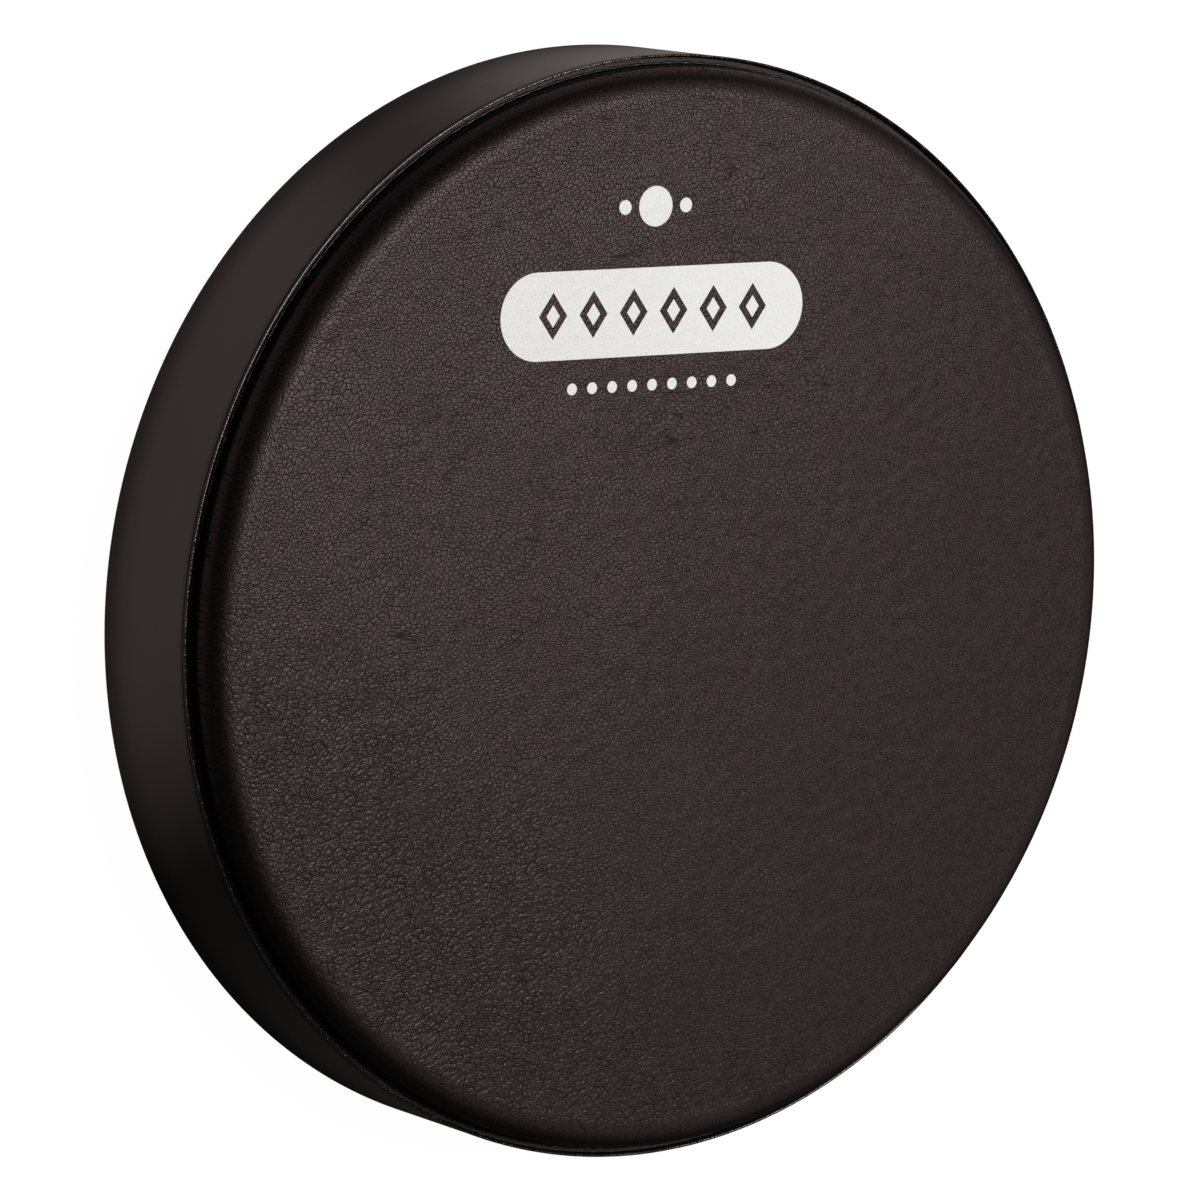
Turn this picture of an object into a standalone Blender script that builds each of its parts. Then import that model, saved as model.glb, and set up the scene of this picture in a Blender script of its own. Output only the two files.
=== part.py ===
"""Frame drum, 12 in across and 2 in deep, with a pre-tuned head that is bonded to its shell.

The drum lies on its open back. Its axis is +Z and the head is on top. The origin is the centre
of the open back, in the plane that the shell rests on. Units are metres.

The side of the drum is a stack of rings. From inside to outside they are shell_tube,
head_glue_band, head_base_film, head_skin, cover_backer and cover_film.
"""

import math

import bmesh
import bpy

INCH = 0.0254
GAP = 0.0003                        # clearance between pieces that touch

# Overall size
OUTER_RADIUS = 6.0 * INCH
DEPTH = 2.0 * INCH

# Cover: a film on a fibrous backer, wrapped round the side and folded under at the back
COVER_FRONT = 0.0415                # height of the cover's front edge
FILM_THICKNESS = 0.0007
BACKER_THICKNESS = 0.0015
BACKER_SETBACK = 0.0022             # the backer's cut edge lies this far below the film's lip
LIP_GROOVE = 0.0003                 # depth of the crease below the lip
LIP_HEIGHT = 0.0009
SEAM_AZIMUTH = -45.0                # where the two ends of the cover meet, in degrees from +X
SEAM_SLIT = 0.0004
SEAM_STRIP_WIDTH = 0.020

# Head: a grained skin on a base film, rolled over the front edge of the shell
ROLL_RADIUS = 0.0083
SKIN_THICKNESS = 0.0009
BASE_FILM_THICKNESS = 0.00035
SKIRT_BOTTOM = 0.004
GLUE_THICKNESS = 0.0005
GLUE_BOTTOM = 0.006
GLUE_TOP = 0.040
BEAD_WIDTH = 0.0008
BEAD_HEIGHT = 0.0007

# Shell: a wound fibre tube
WALL = 0.25 * INCH
BACK_ROUNDING = 0.0005
BEARING_CHAMFER = 0.0010

# Radii and heights that follow from the sizes above
FILM_INNER = OUTER_RADIUS - FILM_THICKNESS
BACKER_OUTER = FILM_INNER - GAP
BACKER_INNER = BACKER_OUTER - BACKER_THICKNESS
BACKER_FRONT = COVER_FRONT - BACKER_SETBACK
SKIN_OUTER = BACKER_INNER - GAP
ROLL_CENTRE = (SKIN_OUTER - ROLL_RADIUS, DEPTH - ROLL_RADIUS)
BASE_FILM_OUTER = SKIN_OUTER - SKIN_THICKNESS - GAP
GLUE_OUTER = BASE_FILM_OUTER - BASE_FILM_THICKNESS - GAP
SHELL_OUTER = GLUE_OUTER - GLUE_THICKNESS - GAP
SHELL_INNER = SHELL_OUTER - WALL
SHELL_TOP = DEPTH - SKIN_THICKNESS - BASE_FILM_THICKNESS - 2 * GAP - GAP

# Mesh density
RING_STEPS = 72
ROLL_STEPS = 6
SMALL_STEPS = 3
MERGE = 1e-6
SHARP_ANGLE = math.radians(35)


def clear_scene():
    for item in list(bpy.data.objects):
        bpy.data.objects.remove(item, do_unlink=True)


def material(name, colour, roughness, metallic=0.0):
    """A Principled material with one colour."""
    made = bpy.data.materials.new(name)
    made.use_nodes = True
    shader = made.node_tree.nodes["Principled BSDF"]
    shader.inputs["Base Color"].default_value = (*colour, 1.0)
    shader.inputs["Roughness"].default_value = roughness
    shader.inputs["Metallic"].default_value = metallic
    return made


def arc(centre, radii, start, end, steps):
    """Points (radius, height) along an elliptical arc, from one angle in degrees to another."""
    points = []
    for step in range(steps + 1):
        angle = math.radians(start + (end - start) * step / steps)
        radius = centre[0] + radii[0] * math.cos(angle)
        height = centre[1] + radii[1] * math.sin(angle)
        points.append((radius, height))
    return points


def rounded(corner, radius, start, end):
    """Points along a small quarter round whose tangent lines meet at the corner."""
    middle = math.radians((start + end) / 2)
    centre_radius = corner[0] - math.copysign(radius, math.cos(middle))
    centre_height = corner[1] - math.copysign(radius, math.sin(middle))
    return arc((centre_radius, centre_height), (radius, radius), start, end, SMALL_STEPS)


def turned(name, outline, finish, sweep=360.0, start=0.0, steps=RING_STEPS):
    """Spin an outline of (radius, height) points round Z.

    An outline that starts and ends on the axis makes a solid cap. Any other outline is a closed
    section, and makes a whole ring, or an open C with flat ends where sweep is under 360.
    """
    mesh = bmesh.new()
    turn = math.radians(start)
    verts = []
    for radius, height in outline:
        verts.append(mesh.verts.new((radius * math.cos(turn), radius * math.sin(turn), height)))
    edges = [mesh.edges.new(pair) for pair in zip(verts, verts[1:])]
    on_axis = outline[0][0] == 0.0
    if not on_axis:
        edges.append(mesh.edges.new((verts[-1], verts[0])))
    bmesh.ops.spin(
        mesh, geom=verts + edges, cent=(0.0, 0.0, 0.0), axis=(0.0, 0.0, 1.0),
        angle=math.radians(sweep), steps=steps, use_merge=sweep == 360.0,
    )
    bmesh.ops.remove_doubles(mesh, verts=mesh.verts, dist=MERGE)
    open_ends = [edge for edge in mesh.edges if edge.is_boundary]
    if open_ends:
        bmesh.ops.holes_fill(mesh, edges=open_ends, sides=0)
    bmesh.ops.recalc_face_normals(mesh, faces=mesh.faces)
    data = bpy.data.meshes.new(name)
    mesh.to_mesh(data)
    mesh.free()
    data.materials.append(finish)
    data.shade_smooth()
    data.set_sharp_from_angle(angle=SHARP_ANGLE)
    made = bpy.data.objects.new(name, data)
    bpy.context.scene.collection.objects.link(made)
    return made


def head_layer(outer, top, thickness):
    """Outline of one layer of the head: flat over the top, rolled, and straight down the side."""
    outer_roll = ROLL_RADIUS - (SKIN_OUTER - outer)
    inner_roll = outer_roll - thickness
    outline = [(0.0, top)]
    outline += arc(ROLL_CENTRE, (outer_roll, outer_roll), 90, 0, ROLL_STEPS)
    outline += [(outer, SKIRT_BOTTOM), (outer - thickness, SKIRT_BOTTOM)]
    outline += arc(ROLL_CENTRE, (inner_roll, inner_roll), 0, 90, ROLL_STEPS)
    outline.append((0.0, top - thickness))
    return outline


def shell_tube(finish):
    """The fibre tube. Its top is the bearing edge, rounded outside and chamfered inside."""
    edge_radius = SHELL_OUTER - ROLL_CENTRE[0]
    edge_height = SHELL_TOP - ROLL_CENTRE[1]
    outline = arc(ROLL_CENTRE, (edge_radius, edge_height), 90, 0, ROLL_STEPS)
    outline += rounded((SHELL_OUTER, 0.0), BACK_ROUNDING, 0, -90)
    outline += rounded((SHELL_INNER, 0.0), BACK_ROUNDING, -90, -180)
    outline.append((SHELL_INNER, SHELL_TOP - BEARING_CHAMFER))
    return turned("shell_tube", outline, finish)


def head_skin(finish):
    return turned("head_skin", head_layer(SKIN_OUTER, DEPTH, SKIN_THICKNESS), finish)


def head_base_film(finish):
    top = DEPTH - SKIN_THICKNESS - GAP
    return turned("head_base_film", head_layer(BASE_FILM_OUTER, top, BASE_FILM_THICKNESS), finish)


def head_glue_band(finish):
    inner = GLUE_OUTER - GLUE_THICKNESS
    outline = [(inner, GLUE_TOP), (GLUE_OUTER, GLUE_TOP), (GLUE_OUTER, GLUE_BOTTOM), (inner, GLUE_BOTTOM)]
    return turned("head_glue_band", outline, finish)


def cover_film(finish):
    """The satin film: a lip with a crease below it at the front, and a fold under the back."""
    lip_foot = COVER_FRONT - LIP_HEIGHT
    side = OUTER_RADIUS - LIP_GROOVE / 2
    groove = OUTER_RADIUS - LIP_GROOVE
    fold_inner = SHELL_OUTER + GAP
    fold_top = GAP + FILM_THICKNESS
    half = FILM_THICKNESS / 2
    outline = arc((OUTER_RADIUS - half, COVER_FRONT - half), (half, half), 180, 0, 2 * SMALL_STEPS)
    outline += [(OUTER_RADIUS, lip_foot + LIP_GROOVE), (groove, lip_foot)]
    outline.append((side, lip_foot - LIP_GROOVE))
    outline += rounded((side, GAP), BACK_ROUNDING, 0, -90)
    outline += [(fold_inner, GAP), (fold_inner, fold_top), (FILM_INNER, fold_top)]
    slit = math.degrees(SEAM_SLIT / OUTER_RADIUS)
    return turned("cover_film", outline, finish, 360 - slit, SEAM_AZIMUTH + slit / 2)


def cover_ring_outline():
    """Section of the layer under the film, which the backer and the seam strip share."""
    bottom = 2 * GAP + FILM_THICKNESS
    return [
        (BACKER_INNER, BACKER_FRONT), (BACKER_OUTER, BACKER_FRONT),
        (BACKER_OUTER, bottom), (BACKER_INNER, bottom),
    ]


def cover_backer(finish):
    opening = math.degrees((SEAM_STRIP_WIDTH + 2 * GAP) / BACKER_OUTER)
    steps = round(RING_STEPS * (360 - opening) / 360)
    return turned(
        "cover_backer", cover_ring_outline(), finish,
        360 - opening, SEAM_AZIMUTH + opening / 2, steps,
    )


def cover_seam_strip(finish):
    """The strip that joins the two ends of the cover, in the opening that the backer leaves."""
    width = math.degrees(SEAM_STRIP_WIDTH / BACKER_OUTER)
    steps = SMALL_STEPS
    return turned(
        "cover_seam_strip", cover_ring_outline(), finish, width, SEAM_AZIMUTH - width / 2, steps,
    )


def front_glue_bead(finish):
    """The bead of adhesive in the corner between the cover's cut edge and the head."""
    foot = BACKER_FRONT + GAP
    outline = arc((BACKER_INNER, foot), (BEAD_WIDTH, BEAD_HEIGHT), 90, 0, SMALL_STEPS)
    outline.append((BACKER_INNER, foot))
    return turned("front_glue_bead", outline, finish)


def build():
    clear_scene()
    shell_tube(material("wood_fibre", (0.060, 0.040, 0.028), 0.75))
    head_base_film(material("polyester_film", (0.550, 0.530, 0.500), 0.35))
    head_skin(material("grained_skin", (0.052, 0.045, 0.044), 0.55))
    glue = material("cured_glue", (0.018, 0.014, 0.012), 0.40)
    head_glue_band(glue)
    front_glue_bead(glue)
    cover_film(material("satin_film", (0.020, 0.017, 0.018), 0.35))
    cover_backer(material("fibrous_backer", (0.045, 0.042, 0.041), 0.90))
    cover_seam_strip(material("seam_tape", (0.030, 0.028, 0.027), 0.70))


build()
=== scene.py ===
"""The look of the frame drum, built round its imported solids.

The drum lies on its open back: its axis is +Z, and the head is on top. Lengths are in metres.
The head and the three rings of the rim are made here. The other solids keep their shapes and get
a material.
"""
import math

import bpy
import numpy as np
from mathutils import Matrix, Vector, noise


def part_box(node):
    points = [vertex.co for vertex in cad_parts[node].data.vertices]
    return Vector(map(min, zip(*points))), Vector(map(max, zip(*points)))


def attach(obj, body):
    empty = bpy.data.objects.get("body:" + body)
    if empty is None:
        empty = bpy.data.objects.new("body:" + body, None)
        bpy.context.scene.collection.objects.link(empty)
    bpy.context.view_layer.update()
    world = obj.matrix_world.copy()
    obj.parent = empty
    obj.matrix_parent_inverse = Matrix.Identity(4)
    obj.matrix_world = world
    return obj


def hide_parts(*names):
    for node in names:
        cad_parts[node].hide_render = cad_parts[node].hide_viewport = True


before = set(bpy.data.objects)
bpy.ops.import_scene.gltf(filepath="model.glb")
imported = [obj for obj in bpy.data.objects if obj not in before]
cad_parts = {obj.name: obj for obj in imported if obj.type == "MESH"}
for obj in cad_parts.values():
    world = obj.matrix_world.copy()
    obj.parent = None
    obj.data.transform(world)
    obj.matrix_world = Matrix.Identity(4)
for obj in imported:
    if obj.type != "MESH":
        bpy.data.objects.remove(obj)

MM = 0.001
TURN = 2 * math.pi

# Places read from the frame
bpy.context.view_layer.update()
SKIN_LOW, SKIN_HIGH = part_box("head_skin")
FILM_LOW, FILM_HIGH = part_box("cover_film")
BACKER_LOW, BACKER_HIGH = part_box("cover_backer")
BEAD_LOW, BEAD_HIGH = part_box("front_glue_bead")
OUTER_RADIUS = FILM_HIGH.x
DEPTH = SKIN_HIGH.z
SKIN_RADIUS = SKIN_HIGH.x
SKIRT_BOTTOM = SKIN_LOW.z
COVER_FRONT = FILM_HIGH.z

# Camera: the line of sight turned from the drum's axis, then tipped
VIEW_YAW = math.radians(35.25)
VIEW_PITCH = math.radians(9.20)
VIEW_DISTANCE = 1.944
FOCAL_SHARE = 5.907            # focal length over the picture's width
SENSOR_WIDTH = 36.0
AIM_RIGHT = -0.0162            # the picture's middle, from the centre of the cover's front edge
AIM_UP = 0.0028

# Light and floor
KEY_DIRECTION = (0.290, 0.180, 0.940)
KEY_DISTANCE = 1.5
KEY_SIZE = 0.72
KEY_POWER = 19
WORLD_STRENGTH = 0.08
FLOOR_SIZE = 16.0
FLOOR_COLOUR = (0.9, 0.9, 0.9, 1)
FLOOR_GLOW = 1.06
FLOOR_GLOW_SHARE = 0.93

# The card that the gloss mirrors: its warm colour, its dark level, and its bright stretches
# as (azimuth, half width, strength)
CARD_COLOUR = (1.0, 0.84, 0.79)
CARD_DARK = 0.03
CARD_LOBES = ((157, 52, 0.34), (72, 50, 0.34))
# Painted contact shadow on the mirrored card, round the drum's foot
CARD_SHADOW_REACH = 8 * MM             # the card is dimmer within this of the drum
CARD_SHADOW_LEVEL = 0.35

# Head
SKIN_THICKNESS = 0.9 * MM
HEAD_GRID = 0.95 * MM
ROLL_REACH = 8.4 * MM          # how far in from its edge the head starts to roll over
ROLL_SAMPLES = 400
CROWN_START = 0.085
CROWN_DROP = 0.12 * MM
UNDERSIDE_COLUMNS = 180
UNDERSIDE_DROP = 0.1 * MM
FACE_DROP = 0.08 * MM          # keeps the highest lumps of the face under the CAD's top
LUMP_FADE = (0.138, 0.1455)    # radii between which the face's lumps fade out

# Rim
RIM_STEPS = 1080
BACKER_STEPS = 2200
SHARP_ANGLE = math.radians(50)
SEAM_AZIMUTH = -45.0
SEAM_SLIT = 0.4 * MM
STRIP_OPENING = 20.6 * MM
FILM_THICKNESS = 0.7 * MM
BACKER_THICKNESS = 1.5 * MM
FOLD_ROUNDING = 0.5 * MM
FOLD_CLEARANCE = 0.3 * MM
LIP_CROWN = 0.20 * MM

# Print, placed round the head's centre
PRINT_SHIFT = (0.0105, 0.0, 0.0)
PRINT_TURN = -1.5
BAND_Y, BAND_HALF_LENGTH, BAND_HALF_HEIGHT = 0.0840, 0.0500, 0.0120
DIAMOND_STEP, DIAMOND_SQUASH, DIAMOND_OUTER, DIAMOND_INNER = 0.0132, 0.72, 0.0046, 0.0022
SPOTS_Y, SPOT_RADIUS, SMALL_SPOT_X, SMALL_SPOT_RADIUS = 0.1125, 0.0055, 0.0100, 0.0020
DOTS_Y, DOT_STEP, DOT_RADIUS = 0.0640, 0.0066, 0.0016

# Leather: colours
FACE_COLOUR = (0.0175, 0.0112, 0.0108)
FACE_COLOUR_COOL = (0.0160, 0.0115, 0.0114)
# Painted shade: a near-black laid into the creases and pore hollows, where shade falls
PAINTED_CREASE_SHADE = (0.0020, 0.0014, 0.0014)
# Painted shade: a near-black colour for the roll, for the shade it falls into as it turns away
# from the light
PAINTED_ROLL_SHADE = (0.0016, 0.0012, 0.0011)
INK_COLOUR = (0.95, 0.95, 0.94)
WARM_TINT = (1.0, 0.78, 0.76)
TOPS_GAIN = 2.15

# Leather: sizes of the grain
FINE_CELL = 1.20 * MM
LARGE_CELL = 2.2 * MM
PORE = 0.40 * MM
SPECK = 0.85 * MM
PLEAT = 0.75 * MM
RAGGEDNESS = 2.4 * MM          # how far the roll's boundary wanders
SLOW_BEND = 16 * MM
QUICK_BEND = 1.8 * MM

# Leather: creases, as (direction in degrees, size, noise level from which they show)
CREASES = ((38.0, 3.6 * MM, 0.47), (-42.0, 5.0 * MM, 0.50))
CREASE_STRETCH = 8.0
CREASE_HALF_WIDTH = 0.009

# Leather: relief in millimetres, and weights of the lines
PEBBLE_HEIGHT = 0.034
LINE_DEPTH = 0.045
PORE_HEIGHT = 0.080
SPECK_HEIGHT = 0.015
PLEAT_HEIGHT = 0.10
FINE_LINE_WEIGHT = 0.85
CREASE_WEIGHT = 0.55

# Leather: radii where the face turns into the roll
PLEATS_IN = (0.1390, 0.1425)
PLEATS_OUT = (0.1440, 0.1475)
# Where the roll's painted shade and its smoother gloss come in
ROLL_SHADE_AND_GLOSS_ZONE = (0.1435, 0.1475)
ROLL_SMOOTH_ZONE = (0.1435, 0.1478)
PLEAT_RADIUS = 0.142

# Radii that turn an angle into a length along a ring, for fibres and weave
RING_RADIUS = 0.151
TUBE_RADIUS = 0.144


def smoothstep(low, high, value):
    t = np.clip((value - low) / (high - low), 0.0, 1.0)
    return t * t * (3 - 2 * t)


# ---------------------------------------------------------------- node materials

class Nodes:
    """A material's node tree, with short calls for the nodes that the finishes share."""

    def __init__(self, name):
        self.material = bpy.data.materials.new(name)
        self.material.use_nodes = True
        self.tree = self.material.node_tree
        self.shader = self.tree.nodes["Principled BSDF"]
        self.position = self.node("ShaderNodeTexCoord").outputs["Object"]

    def node(self, kind, **settings):
        made = self.tree.nodes.new(kind)
        for name, value in settings.items():
            setattr(made, name, value)
        return made

    def plug(self, value, socket):
        """Link an output to a socket, or set the socket to a number or a colour."""
        if isinstance(value, bpy.types.NodeSocket):
            self.tree.links.new(value, socket)
        else:
            socket.default_value = value

    def math(self, operation, first, second=0.0, third=0.0):
        made = self.node("ShaderNodeMath", operation=operation)
        for value, socket in zip((first, second, third), made.inputs):
            self.plug(value, socket)
        return made.outputs[0]

    def add(self, first, second):
        return self.math("ADD", first, second)

    def subtract(self, first, second):
        return self.math("SUBTRACT", first, second)

    def multiply(self, first, second):
        return self.math("MULTIPLY", first, second)

    def scaled_sum(self, value, weight, rest):
        """The value times its weight, plus the rest."""
        return self.math("MULTIPLY_ADD", value, weight, rest)

    def maximum(self, first, second):
        return self.math("MAXIMUM", first, second)

    def length(self, x, y):
        return self.math("SQRT", self.add(self.math("POWER", x, 2.0), self.math("POWER", y, 2.0)))

    def vector(self, operation, first, second):
        made = self.node("ShaderNodeVectorMath", operation=operation)
        self.plug(first, made.inputs[0])
        self.plug(second, made.inputs[1])
        return made.outputs[0]

    def scaled(self, vector, scale):
        made = self.node("ShaderNodeVectorMath", operation="SCALE")
        self.plug(vector, made.inputs[0])
        self.plug(scale, made.inputs["Scale"])
        return made.outputs[0]

    def split(self, vector):
        made = self.node("ShaderNodeSeparateXYZ")
        self.plug(vector, made.inputs[0])
        return made.outputs

    def join(self, x, y, z):
        made = self.node("ShaderNodeCombineXYZ")
        for value, socket in zip((x, y, z), made.inputs):
            self.plug(value, socket)
        return made.outputs[0]

    def turned(self, vector, degrees, stretch=1.0):
        """Turn a position round Z and shorten it along X, so that what it feeds grows that way."""
        made = self.node("ShaderNodeMapping")
        made.inputs["Rotation"].default_value = (0.0, 0.0, -math.radians(degrees))
        made.inputs["Scale"].default_value = (1.0 / stretch, 1.0, 1.0)
        self.plug(vector, made.inputs["Vector"])
        return made.outputs[0]

    def noise_node(self, vector, size, detail, roughness):
        made = self.node("ShaderNodeTexNoise")
        self.plug(vector, made.inputs["Vector"])
        made.inputs["Scale"].default_value = 1.0 / size
        made.inputs["Detail"].default_value = detail
        made.inputs["Roughness"].default_value = roughness
        return made

    def noise(self, vector, size, detail=2.0, roughness=0.5):
        """Noise whose features are about size metres across."""
        return self.noise_node(vector, size, detail, roughness).outputs[0]

    def drift(self, vector, size, detail, reach):
        """Noise as a shift in any direction, up to about half of reach."""
        made = self.noise_node(vector, size, detail, 0.5).outputs[1]
        return self.scaled(self.vector("SUBTRACT", made, (0.5, 0.5, 0.5)), reach)

    def cells(self, vector, size):
        """Distance to the edge of flat Voronoi cells about size metres across."""
        made = self.node(
            "ShaderNodeTexVoronoi", voronoi_dimensions="2D", feature="DISTANCE_TO_EDGE")
        self.plug(vector, made.inputs["Vector"])
        made.inputs["Scale"].default_value = 1.0 / size
        return made.outputs[0]

    def ramp(self, value, low, high, start=0.0, end=1.0):
        """A smooth step of a value from low to high, which gives start to end."""
        made = self.node("ShaderNodeMapRange", interpolation_type="SMOOTHSTEP")
        for item, number in (("Value", value), ("From Min", low), ("From Max", high),
                             ("To Min", start), ("To Max", end)):
            self.plug(number, made.inputs[item])
        return made.outputs[0]

    def mix(self, share, first, second):
        made = self.node("ShaderNodeMix", data_type="RGBA")
        self.plug(share, made.inputs["Factor"])
        for value, name in ((first, "A_Color"), (second, "B_Color")):
            socket = next(s for s in made.inputs if s.identifier == name)
            if not isinstance(value, bpy.types.NodeSocket):
                value = (*value, 1.0)
            self.plug(value, socket)
        return next(s for s in made.outputs if s.identifier == "Result_Color")

    def bump(self, height):
        """A bumped normal from a height in millimetres."""
        made = self.node("ShaderNodeBump")
        made.inputs["Distance"].default_value = MM
        made.inputs["Strength"].default_value = 1.0
        self.plug(height, made.inputs["Height"])
        return made.outputs[0]

    def set(self, **values):
        names = {"colour": "Base Color", "roughness": "Roughness", "normal": "Normal",
                 "specular": "Specular IOR Level", "tint": "Specular Tint"}
        for name, value in values.items():
            if isinstance(value, tuple) and len(value) == 3:
                value = (*value, 1.0)
            self.plug(value, self.shader.inputs[names[name]])
        return self.material


def print_mask(n):
    """One where the plain ornament lies on the head: spots, a band with diamonds, and dots."""
    x, y, _ = n.split(n.turned(n.vector("ADD", n.position, PRINT_SHIFT), PRINT_TURN))

    def below(value, limit):
        return n.math("LESS_THAN", value, limit)

    def without(first, second):
        return n.subtract(first, n.multiply(first, second))

    def spot(across, centre_y, radius):
        """A round spot, from the distance across to it and its height on the head."""
        return below(n.length(across, n.subtract(y, centre_y)), radius)

    def to_nearest(step, shift):
        """Distance across to the nearest of a row of points. The shift is in steps."""
        return n.math("PINGPONG", n.add(x, shift * step), step / 2)

    beside = n.math("ABSOLUTE", x)
    # Band with round ends, and a row of six diamonds cut through it
    straight = BAND_HALF_LENGTH - BAND_HALF_HEIGHT
    band = spot(n.maximum(n.subtract(beside, straight), 0.0), BAND_Y, BAND_HALF_HEIGHT)
    off_band = n.math("ABSOLUTE", n.subtract(y, BAND_Y))
    diamond = n.scaled_sum(off_band, DIAMOND_SQUASH, to_nearest(DIAMOND_STEP, 20.5))
    outline = without(below(diamond, DIAMOND_OUTER), below(diamond, DIAMOND_INNER))
    band = without(band, n.multiply(outline, below(beside, 3 * DIAMOND_STEP)))
    # A large spot between two small ones above it, and a row of nine dots below it
    large = spot(x, SPOTS_Y, SPOT_RADIUS)
    pair = spot(n.subtract(beside, SMALL_SPOT_X), SPOTS_Y, SMALL_SPOT_RADIUS)
    dots = n.multiply(
        spot(to_nearest(DOT_STEP, 30), DOTS_Y, DOT_RADIUS), below(beside, 4.5 * DOT_STEP))
    return n.maximum(n.maximum(band, pair), n.maximum(large, dots))


def leather_pebbles(n, bent, coarse):
    """The lines between pebbles of two sizes, which come and go, and how far the pebbles swell."""
    fine = n.cells(n.turned(bent, 30.0, 1.2), FINE_CELL)
    large = n.cells(n.turned(bent, 8.0, 1.5), LARGE_CELL)
    fine_shows = n.ramp(n.noise(n.position, 3.2 * MM), 0.38, 0.60, 0.60, 1.0)
    fine_line = n.multiply(n.ramp(fine, 0.0, 0.10, 1.0, 0.0), fine_shows)
    large_shows = n.ramp(n.noise(n.position, 5.5 * MM), 0.36, 0.60, 0.2, 1.0)
    large_line = n.multiply(
        n.ramp(large, 0.0, 0.075, 1.0, 0.0), n.multiply(coarse, large_shows))
    lines = n.maximum(n.multiply(fine_line, FINE_LINE_WEIGHT), large_line)
    swell = n.multiply(n.ramp(fine, 0.0, 0.42), n.scaled_sum(coarse, 0.4, 0.7))
    swell = n.scaled_sum(n.ramp(large, 0.0, 0.40), n.multiply(coarse, 1.7), swell)
    return lines, swell


def leather_creases(n, swept):
    """Long creases: level lines of drawn-out noise, in two crossing families that come and go."""
    families = []
    for degrees, size, low in CREASES:
        level = n.noise(n.turned(swept, degrees, CREASE_STRETCH), size, 1.0, 0.4)
        off = n.math("ABSOLUTE", n.subtract(level, 0.5))
        line = n.ramp(off, 0.0, CREASE_HALF_WIDTH, 1.0, 0.0)
        shows = n.ramp(n.noise(n.turned(n.position, degrees, 2.5), 9 * MM, 1.0), low, low + 0.10)
        families.append(n.multiply(line, shows))
    return n.maximum(*families)


def skin_material():
    """Synthetic leather: small pebbles, wandering creases, fine pores, and a smooth roll, with
    painted shade: near-black in the creases and pore hollows, and a darker colour over the roll.
    """
    n = Nodes("skin_leather")
    x, y, z = n.split(n.position)
    radius = n.length(x, y)
    # The grain is coarser and deeper towards the lower left of the face
    lean = n.add(n.multiply(x, -0.60), n.multiply(y, -0.80))
    sway = n.subtract(n.noise(n.position, 60 * MM, 1.0), 0.5)
    coarse = n.ramp(n.scaled_sum(sway, 0.10, lean), 0.02, 0.12)
    deeper = n.ramp(n.scaled_sum(y, 0.3, n.multiply(x, -1.0)), -0.11, 0.12, 0.60, 1.40)
    # Positions bent by noise, so that no line is straight
    swept = n.vector("ADD", n.position, n.drift(n.position, 38 * MM, 1.0, SLOW_BEND))
    bent = n.vector("ADD", swept, n.drift(n.position, 3.4 * MM, 2.0, QUICK_BEND))
    lines, swell = leather_pebbles(n, bent, coarse)
    lines = n.maximum(lines, n.multiply(leather_creases(n, swept), CREASE_WEIGHT))
    pores = n.noise(n.position, PORE, 2.0, 0.65)
    specks = n.noise(n.position, SPECK, 2.0, 0.6)
    # Short radial pleats where the skin starts to roll, which also make the boundary ragged
    angle = n.math("ARCTAN2", y, x)
    pleat_at = n.join(n.multiply(angle, PLEAT_RADIUS), n.multiply(radius, 0.22), z)
    pleats = n.noise(pleat_at, PLEAT, 2.0, 0.6)
    pleat_zone = n.multiply(n.ramp(radius, *PLEATS_IN), n.ramp(radius, *PLEATS_OUT, 1.0, 0.0))
    ragged = n.scaled_sum(n.subtract(pleats, 0.5), RAGGEDNESS, radius)
    on_roll = n.ramp(ragged, *ROLL_SHADE_AND_GLOSS_ZONE)

    grain = n.scaled_sum(swell, PEBBLE_HEIGHT, n.multiply(lines, -LINE_DEPTH))
    grain = n.scaled_sum(pores, PORE_HEIGHT, grain)
    grain = n.scaled_sum(specks, SPECK_HEIGHT, grain)
    grain = n.multiply(grain, deeper)
    height = n.multiply(grain, n.ramp(ragged, *ROLL_SMOOTH_ZONE, 1.0, 0.10))
    height = n.scaled_sum(n.multiply(pleats, pleat_zone), PLEAT_HEIGHT, height)

    # Painted shade: the creases and the hollows of the pores are near-black, so the pebble tops
    # stand paler; and a slow drift between a red and a cooler black
    cooler = n.ramp(n.noise(n.position, 13 * MM), 0.38, 0.62)
    tops = n.scaled(n.mix(cooler, FACE_COLOUR, FACE_COLOUR_COOL), TOPS_GAIN)
    tops = n.mix(n.ramp(pores, 0.24, 0.60), PAINTED_CREASE_SHADE, tops)
    leather = n.mix(lines, tops, PAINTED_CREASE_SHADE)
    # Painted shade: the roll gets the near-black colour, for the shade it turns into
    leather = n.mix(on_roll, leather, PAINTED_ROLL_SHADE)
    # The ink is missing from the deepest pores
    worn = n.ramp(n.scaled_sum(lines, -0.16, pores), 0.14, 0.26)
    mark = n.multiply(print_mask(n), worn)
    colour = n.mix(mark, leather, INK_COLOUR)
    rough = n.scaled_sum(pores, 0.10, n.scaled_sum(on_roll, -0.06, 0.25))
    rough = n.scaled_sum(lines, 0.90, rough)
    rough = n.scaled_sum(mark, 0.12, rough)
    return n.set(
        colour=colour, roughness=rough, specular=0.30, tint=WARM_TINT, normal=n.bump(height))


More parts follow.
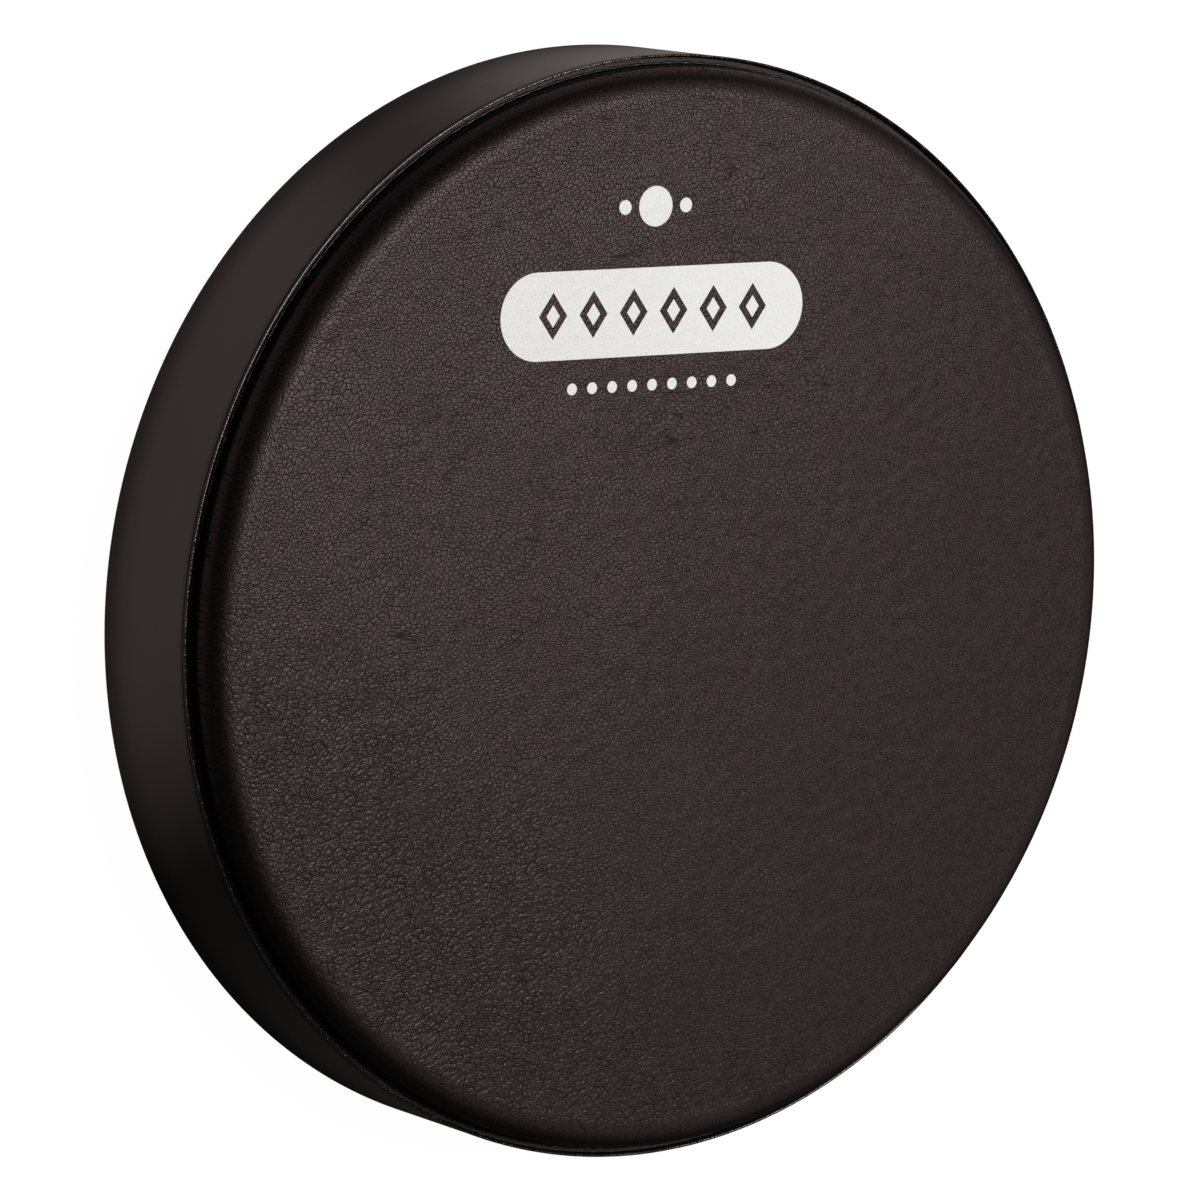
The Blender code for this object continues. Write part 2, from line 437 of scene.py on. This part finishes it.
def cover_material():
    """Satin film: almost smooth, with a faint orange peel, soft marks, and nicks along the lip."""
    n = Nodes("cover_satin")
    peel = n.noise(n.position, 1.1 * MM)
    waves = n.noise(n.position, 22.0 * MM, 1.0)
    height = n.scaled_sum(waves, 0.30, n.multiply(peel, 0.004))
    _, _, z = n.split(n.position)
    on_lip = n.ramp(z, COVER_FRONT - 0.55 * MM, COVER_FRONT - 0.35 * MM)
    nicks = n.noise(n.position, 0.7 * MM, 2.0, 0.6)
    height = n.scaled_sum(n.multiply(nicks, on_lip), 0.10, height)
    rough = n.scaled_sum(n.noise(n.position, 14.0 * MM, 3.0), 0.08, 0.24)
    rough = n.scaled_sum(on_lip, -0.15, rough)
    warmer = n.ramp(n.noise(n.position, 30.0 * MM), 0.35, 0.65)
    colour = n.mix(warmer, (0.0030, 0.0021, 0.0018), (0.0042, 0.0030, 0.0026))
    return n.set(
        colour=colour, roughness=rough, specular=0.6, tint=(1.0, 0.86, 0.82),
        normal=n.bump(height))


def backer_material():
    """Fibrous backing: short fibres that run round the rim, with a rough cut edge."""
    n = Nodes("backer_fibre")
    x, y, z = n.split(n.position)
    angle = n.math("ARCTAN2", y, x)
    along = n.join(n.multiply(angle, RING_RADIUS / 3.5), n.length(x, y), z)
    fibres = n.noise(along, 0.28 * MM, 3.0, 0.65)
    lumps = n.noise(n.position, 0.8 * MM, 3.0, 0.6)
    height = n.add(n.multiply(fibres, 0.20), n.multiply(lumps, 0.20))
    shade = n.ramp(n.multiply(n.add(fibres, lumps), 0.5), 0.38, 0.66)
    colour = n.mix(shade, (0.0080, 0.0055, 0.0048), (0.0600, 0.0400, 0.0350))
    rough = n.ramp(lumps, 0.3, 0.7, 0.36, 0.55)
    return n.set(colour=colour, roughness=rough, specular=0.3, normal=n.bump(height))


def glue_material():
    """Cured adhesive: dark and lumpy, with uneven gloss."""
    n = Nodes("glue_cured")
    lumps = n.noise(n.position, 1.6 * MM, 3.0, 0.6)
    rough = n.ramp(lumps, 0.3, 0.7, 0.38, 0.6)
    colour = n.mix(
        n.ramp(lumps, 0.35, 0.7), (0.0015, 0.0012, 0.0011), (0.004, 0.003, 0.0028))
    return n.set(colour=colour, roughness=rough, normal=n.bump(n.multiply(lumps, 0.15)))


def fibre_material():
    """Resin-filled wood fibre: long fibres wound round the tube, blotches and pale flecks."""
    n = Nodes("shell_fibre")
    x, y, z = n.split(n.position)
    angle = n.math("ARCTAN2", y, x)
    along = n.join(n.multiply(angle, TUBE_RADIUS / 9.0), z, 0.0)
    strands = n.noise(along, 0.9 * MM, 4.0, 0.65)
    blotch = n.noise(n.position, 12.0 * MM, 3.0)
    flecks = n.ramp(n.noise(along, 0.55 * MM), 0.62, 0.70)
    colour = n.mix(n.ramp(blotch, 0.35, 0.65), (0.030, 0.019, 0.012), (0.052, 0.034, 0.022))
    colour = n.mix(n.ramp(strands, 0.35, 0.65), colour, (0.075, 0.050, 0.032))
    colour = n.mix(n.multiply(flecks, 0.55), colour, (0.16, 0.115, 0.075))
    height = n.scaled_sum(strands, 0.12, n.multiply(blotch, 0.10))
    rough = n.ramp(strands, 0.3, 0.7, 0.55, 0.8)
    return n.set(colour=colour, roughness=rough, specular=0.35, normal=n.bump(height))


def weave_pattern(n, first, second, step):
    """Threads that cross: from -1 to 1, with step from one thread to the next."""
    return n.multiply(*(n.math("SINE", n.multiply(item, TURN / step)) for item in (first, second)))


def base_film_material():
    """The head's underside: a milky film over a fine weave."""
    n = Nodes("base_film_milky")
    x, y, _ = n.split(n.position)
    weave = weave_pattern(n, x, y, 0.9 * MM)
    cloud = n.noise(n.position, 18.0 * MM, 4.0, 0.6)
    shade = n.scaled_sum(weave, 0.12, cloud)
    colour = n.mix(n.ramp(shade, 0.25, 0.75), (0.34, 0.31, 0.27), (0.50, 0.47, 0.42))
    height = n.scaled_sum(weave, 0.012, n.multiply(cloud, 0.15))
    rough = n.ramp(cloud, 0.3, 0.7, 0.38, 0.52)
    return n.set(colour=colour, roughness=rough, normal=n.bump(height))


def tape_material():
    """Woven tape, worn darker in places."""
    n = Nodes("seam_tape_woven")
    x, y, z = n.split(n.position)
    along = n.multiply(n.math("ARCTAN2", y, x), RING_RADIUS)
    weave = weave_pattern(n, z, along, 0.7 * MM)
    wear = n.noise(n.position, 3.0 * MM, 3.0)
    shade = n.scaled_sum(weave, 0.25, wear)
    colour = n.mix(n.ramp(shade, 0.2, 0.8), (0.010, 0.009, 0.009), (0.045, 0.040, 0.038))
    return n.set(colour=colour, roughness=0.75, normal=n.bump(n.multiply(weave, 0.05)))


# ---------------------------------------------------------------- meshes

def ring_points(radius, height, count):
    turn = np.arange(count) * TURN / count
    return np.stack([radius * np.cos(turn), radius * np.sin(turn), np.full(count, height)], 1)


def stitch(first, first_count, second, second_count):
    """Triangles between two whole rings of points that start at the same azimuth."""
    faces = []
    i = j = 0
    while i < first_count or j < second_count:
        here, there = first + i % first_count, second + j % second_count
        first_is_behind = (i + 1) * second_count <= (j + 1) * first_count
        if j >= second_count or (i < first_count and first_is_behind):
            faces.append((here, there, first + (i + 1) % first_count))
            i += 1
        else:
            faces.append((here, there, second + (j + 1) % second_count))
            j += 1
    return faces


def make_mesh(name, points, faces, material):
    data = bpy.data.meshes.new(name)
    data.from_pydata([tuple(p) for p in points], [], faces)
    data.validate()
    data.materials.append(material)
    data.shade_smooth()
    made = bpy.data.objects.new(name, data)
    bpy.context.scene.collection.objects.link(made)
    return made


def head_profile():
    """The head's outline as (radius, height) from its centre out and down: face, roll, skirt."""
    roll_start = SKIN_RADIUS - ROLL_REACH
    steps = ROLL_SAMPLES
    # Unit roll: its slope grows evenly from level to straight down
    slope = math.pi / 2 * ((np.arange(steps) + 0.5) / steps)
    reach = np.concatenate([[0.0], np.cumsum(np.cos(slope)) / steps])
    fall = np.concatenate([[0.0], np.cumsum(np.sin(slope)) / steps])
    length = ROLL_REACH / reach[-1]
    roll_top = DEPTH - CROWN_DROP
    roll = []
    for at in np.linspace(0, steps, round(length / HEAD_GRID) + 1)[1:]:
        roll.append((roll_start + length * np.interp(at, range(steps + 1), reach),
                     roll_top - length * np.interp(at, range(steps + 1), fall)))
    rings = round(roll_start / HEAD_GRID)
    face = []
    for ring in range(1, rings + 1):
        radius = roll_start * ring / rings
        share = max(0.0, (radius - CROWN_START) / (roll_start - CROWN_START))
        face.append((radius, DEPTH - share ** 3 * CROWN_DROP))
    skirt_top = roll[-1][1]
    skirt = [(SKIN_RADIUS, skirt_top + (SKIRT_BOTTOM - skirt_top) * share)
             for share in (0.05, 0.3, 1.0)]
    return face, roll, skirt


def underside_profile(roll_start, skirt_top):
    """The same outline moved in by the skin's thickness, from the skirt's foot up and in."""
    inside = SKIN_RADIUS - SKIN_THICKNESS
    roll_top = DEPTH - CROWN_DROP - SKIN_THICKNESS
    profile = [(inside, SKIRT_BOTTOM), (inside, skirt_top)]
    for share in (0.8, 0.6, 0.4, 0.2, 0.0):
        tilt = math.pi / 2 * share
        profile.append((roll_start + (inside - roll_start) * math.sin(tilt),
                        skirt_top + (roll_top - skirt_top) * math.cos(tilt)))
    flat = DEPTH - SKIN_THICKNESS - UNDERSIDE_DROP
    return profile + [(roll_start * 0.7, flat), (roll_start * 0.35, flat)], flat


def lump_height(x, y):
    """Slow pebbling and swells of the skin that are large enough to be in the mesh."""
    turn = math.radians(28)
    u = (x * math.cos(turn) + y * math.sin(turn)) / (5.5 * MM)
    v = (-x * math.sin(turn) + y * math.cos(turn)) / (3.0 * MM)
    bend = noise.noise(Vector((x * 90, y * 90, 3.1)))
    lump = noise.noise(Vector((u + bend, v - bend, 0.7)))
    slow = noise.noise(Vector((x * 40, y * 40, 9.3)))
    return 0.050 * MM * lump + 0.05 * MM * slow


def make_head(material):
    """The head as a closed skin: a fine grid on top, and a coarse one underneath."""
    face, roll, skirt = head_profile()
    edge_count = 6 * len(face)
    points = [(0.0, 0.0, DEPTH)]
    faces = []
    previous = None
    for index, (radius, height) in enumerate(face + roll + skirt):
        count = min(6 * (index + 1), edge_count)
        start = len(points)
        points.extend(ring_points(radius, height, count))
        if previous is None:
            faces.extend((0, start + k, start + (k + 1) % count) for k in range(count))
        else:
            faces.extend(stitch(*previous, start, count))
        previous = (start, count)
    top_end = len(points)
    profile, flat = underside_profile(face[-1][0], roll[-1][1])
    for index, (radius, height) in enumerate(profile):
        count = edge_count if index == 0 else UNDERSIDE_COLUMNS
        start = len(points)
        points.extend(ring_points(radius, height, count))
        faces.extend(stitch(*previous, start, count))
        previous = (start, count)
    start, count = previous
    centre = len(points)
    points.append((0.0, 0.0, flat))
    faces.extend((start + k, centre, start + (k + 1) % count) for k in range(count))
    points = np.array(points)
    # Lumps on the face, fading out over the roll
    for index in range(top_end):
        x, y, _ = points[index]
        keep = 1 - float(smoothstep(*LUMP_FADE, math.hypot(x, y)))
        if keep > 0:
            points[index][2] += keep * lump_height(x, y) - FACE_DROP
    return make_mesh("head_skin_leather", points, faces, material)


def turned_mesh(name, outline, material, shift, steps=RIM_STEPS, start=0.0, sweep=360.0,
                clockwise=True):
    """A closed outline of (radius, height) swept round Z, whole or as an open C with flat ends.

    shift(azimuth, index) gives how far (radius, height) each point of the outline moves. clockwise
    says which way round the outline is drawn.
    """
    whole = sweep >= 360.0
    columns = steps if whole else steps + 1
    size = len(outline)
    order = list(enumerate(outline))
    if clockwise:
        order.reverse()
    points = []
    for column in range(columns):
        azimuth = math.radians(start + sweep * column / steps)
        for index, (radius, height) in order:
            outward, upward = shift(azimuth, index)
            radius, height = radius + outward, height + upward
            points.append((radius * math.cos(azimuth), radius * math.sin(azimuth), height))
    faces = []
    for column in range(steps):
        here = column * size
        there = (column + 1) % columns * size
        for index in range(size):
            after = (index + 1) % size
            faces.append((here + index, here + after, there + after, there + index))
    if not whole:
        faces.append(tuple(range(size))[::-1])
        faces.append(tuple(range((columns - 1) * size, columns * size)))
    made = make_mesh(name, points, faces, material)
    made.data.set_sharp_from_angle(angle=SHARP_ANGLE)
    return made


def arc(centre, radii, start, end, steps):
    """Points (radius, height) along an elliptical arc, from one angle in degrees to another."""
    points = []
    for step in range(steps + 1):
        angle = math.radians(start + (end - start) * step / steps)
        points.append((centre[0] + radii[0] * math.cos(angle),
                       centre[1] + radii[1] * math.sin(angle)))
    return points


def around(azimuth, scale, level):
    """A place on a circle in noise space, so that what it gives closes up round the rim."""
    return Vector((math.cos(azimuth) * scale, math.sin(azimuth) * scale, level))


def make_cover(material):
    """The cover film, with its rounded lip, the crease under it, and the fold under the back."""
    lip = FILM_THICKNESS / 2
    top = COVER_FRONT
    side = OUTER_RADIUS - 0.04 * MM
    fold_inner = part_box("shell_tube")[1].x + FOLD_CLEARANCE
    bottom = FILM_LOW.z
    outline = arc((OUTER_RADIUS - lip, top - LIP_CROWN), (lip, LIP_CROWN), 180, 0, 10)
    outline.append((OUTER_RADIUS, top - 0.50 * MM))
    # The crease under the lip, as (depth in from the outside, drop from the top)
    for inward, drop in ((0.10, 0.66), (0.45, 0.78), (0.42, 0.98), (0.12, 1.20)):
        outline.append((OUTER_RADIUS - inward * MM, top - drop * MM))
    moving = len(outline)
    outline += [(side, top - drop * MM) for drop in (1.5, 3.0, 12.0)]
    outline.append((side, bottom + 8 * MM))
    outline += arc((side - FOLD_ROUNDING, bottom + FOLD_ROUNDING),
                   (FOLD_ROUNDING, FOLD_ROUNDING), 0, -90, 4)
    outline += [(fold_inner, bottom), (fold_inner, bottom + FILM_THICKNESS),
                (OUTER_RADIUS - FILM_THICKNESS, bottom + FILM_THICKNESS)]
    slit = math.degrees(SEAM_SLIT / OUTER_RADIUS)

    def shift(azimuth, index):
        """The lip and its crease rise and fall slightly along the rim."""
        if index >= moving:
            return 0.0, 0.0
        slow = noise.noise(around(azimuth, 24, 0.4))
        quick = noise.noise(around(azimuth, 150, 2.4))
        return 0.0, -0.06 * MM + 0.07 * MM * slow + 0.05 * MM * quick

    return turned_mesh("cover_film_satin", outline, material, shift,
                       start=SEAM_AZIMUTH + slit / 2, sweep=360.0 - slit)


def make_backer(material):
    """The fibrous layer. Its cut edge is ragged, and its inner corner is torn."""
    inner, outer = BACKER_HIGH.x - BACKER_THICKNESS, BACKER_HIGH.x
    top, bottom = BACKER_HIGH.z, BACKER_LOW.z
    spans = 6
    outline = [(inner + (outer - inner) * k / spans, top) for k in range(spans + 1)]
    outline += [(outer, bottom), (inner, bottom)]
    opening = math.degrees(STRIP_OPENING / outer)

    def shift(azimuth, index):
        """Only the points along the cut edge move."""
        if index > spans:
            return 0.0, 0.0
        place = around(azimuth, 260, index * 0.9)
        rough = noise.noise(place) + 0.6 * noise.noise(place * 2.3)
        if index > 0:
            return 0.0, 0.16 * MM * rough
        torn = noise.noise(around(azimuth, 110, 5.0))
        return 0.12 * MM * torn * 0.9, 0.16 * MM * rough - 0.25 * MM

    return turned_mesh("cover_backer_fibrous", outline, material, shift, steps=BACKER_STEPS,
                       start=SEAM_AZIMUTH + opening / 2, sweep=360.0 - opening)


def make_bead(material):
    """The squeezed-out adhesive: a bead that swells and thins along the rim."""
    foot, inner = BEAD_LOW.z, BEAD_HIGH.x - 0.8 * MM
    outline = [(inner, foot)] + arc((inner, foot), (0.75 * MM, 0.6 * MM), 0, 90, 5)

    def shift(azimuth, index):
        """Each point moves towards the corner, by how far the bead is thinned there."""
        place = around(azimuth, 90, 1.7)
        swell = 0.5 + 0.5 * noise.noise(place) + 0.3 * noise.noise(place * 3.1)
        swell = min(1.0, max(0.12, swell))
        radius, height = outline[index]
        return (radius - inner) * (swell - 1), (height - foot) * (swell - 1)

    return turned_mesh("front_glue_bead_ragged", outline, material, shift, clockwise=False)


# ---------------------------------------------------------------- studio

def aim(item, place, target, up):
    back = (Vector(place) - Vector(target)).normalized()
    right = Vector(up).cross(back).normalized()
    turn = Matrix((right, back.cross(right), back)).transposed()
    item.matrix_world = Matrix.Translation(Vector(place)) @ turn.to_4x4()


def make_camera():
    data = bpy.data.cameras.new("camera")
    data.sensor_width = SENSOR_WIDTH
    data.lens = FOCAL_SHARE * SENSOR_WIDTH
    data.clip_start = 0.05
    data.clip_end = 30.0
    camera = bpy.data.objects.new("camera", data)
    bpy.context.scene.collection.objects.link(camera)
    right = Vector((math.cos(VIEW_YAW), 0, math.sin(VIEW_YAW)))
    up = Vector((math.sin(VIEW_PITCH) * math.sin(VIEW_YAW), math.cos(VIEW_PITCH),
                 -math.sin(VIEW_PITCH) * math.cos(VIEW_YAW)))
    back = right.cross(up)
    rim = Vector((0, 0, COVER_FRONT))
    aim(camera, rim + back * VIEW_DISTANCE, rim + right * AIM_RIGHT + up * AIM_UP, up)
    bpy.context.scene.camera = camera


def make_key_light():
    data = bpy.data.lights.new("key", "AREA")
    data.shape = "RECTANGLE"
    data.size = data.size_y = KEY_SIZE
    data.energy = KEY_POWER
    light = bpy.data.objects.new("key", data)
    bpy.context.scene.collection.objects.link(light)
    target = Vector((0, 0, COVER_FRONT))
    place = target + Vector(KEY_DIRECTION).normalized() * KEY_DISTANCE
    aim(light, place, target, Vector((0, 1, 0.001)))


def card_strength(n):
    """How bright the mirrored card is: dim, with two bright stretches, and dimmer at the drum,
    where a contact shadow is painted into it.
    """
    x, y, _ = n.split(n.position)
    radius = n.length(x, y)
    card = CARD_DARK
    for degrees, width, strength in CARD_LOBES:
        turn = math.radians(degrees)
        toward = n.add(n.multiply(x, math.cos(turn)), n.multiply(y, math.sin(turn)))
        cosine = n.math("DIVIDE", toward, n.maximum(radius, 0.01))
        edge = math.cos(math.radians(width))
        card = n.add(n.ramp(cosine, edge, 1.0, 0.0, strength), card)
    # Painted contact shadow: the card is dimmer next to the drum
    foot = n.ramp(radius, OUTER_RADIUS, OUTER_RADIUS + CARD_SHADOW_REACH, CARD_SHADOW_LEVEL, 1.0)
    return n.multiply(card, foot)


def make_floor():
    """A pale floor, clear from below. What the drum's gloss mirrors of it is a warm card."""
    bpy.ops.mesh.primitive_grid_add(
        x_subdivisions=8, y_subdivisions=8, size=FLOOR_SIZE, location=(0, 0, 0))
    floor = bpy.context.object
    floor.name = "floor"
    n = Nodes("floor_pale")

    def mixed(share, first, second):
        made = n.node("ShaderNodeMixShader")
        for value, socket in zip((share, first, second), made.inputs):
            n.plug(value, socket)
        return made.outputs[0]

    def glow(colour, strength):
        made = n.node("ShaderNodeEmission")
        made.inputs["Color"].default_value = (*colour, 1)
        n.plug(strength, made.inputs["Strength"])
        return made.outputs[0]

    matt = n.node("ShaderNodeBsdfDiffuse")
    matt.inputs["Color"].default_value = FLOOR_COLOUR
    white = mixed(FLOOR_GLOW_SHARE, matt.outputs[0], glow((1, 1, 1), FLOOR_GLOW))
    mirrored = glow(CARD_COLOUR, card_strength(n))
    by_ray = mixed(n.node("ShaderNodeLightPath").outputs["Is Camera Ray"], mirrored, white)
    clear = n.node("ShaderNodeBsdfTransparent").outputs[0]
    by_side = mixed(n.node("ShaderNodeNewGeometry").outputs["Backfacing"], by_ray, clear)
    output = next(k for k in n.tree.nodes if k.type == "OUTPUT_MATERIAL")
    n.plug(by_side, output.inputs["Surface"])
    floor.data.materials.append(n.material)


def make_world():
    world = bpy.data.worlds.new("studio")
    bpy.context.scene.world = world
    world.use_nodes = True
    background = world.node_tree.nodes["Background"]
    background.inputs["Color"].default_value = (1, 1, 1, 1)
    background.inputs["Strength"].default_value = WORLD_STRENGTH


def main():
    bpy.context.scene.view_settings.view_transform = "Standard"
    glue = glue_material()
    carried = {
        "shell_tube": fibre_material(), "head_base_film": base_film_material(),
        "head_glue_band": glue, "cover_seam_strip": tape_material(),
    }
    for name, material in carried.items():
        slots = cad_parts[name].data.materials
        slots.clear()
        slots.append(material)
    head = make_head(skin_material())
    built = [
        (head, "head_skin", "skin"),
        (make_cover(cover_material()), "cover_film", "cover"),
        (make_backer(backer_material()), "cover_backer", "backer"),
        (make_bead(glue), "front_glue_bead", "glue"),
    ]
    for piece, node, slot in built:
        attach(piece, "root")
        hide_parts(node)
    make_camera()
    make_floor()
    make_world()
    make_key_light()


main()
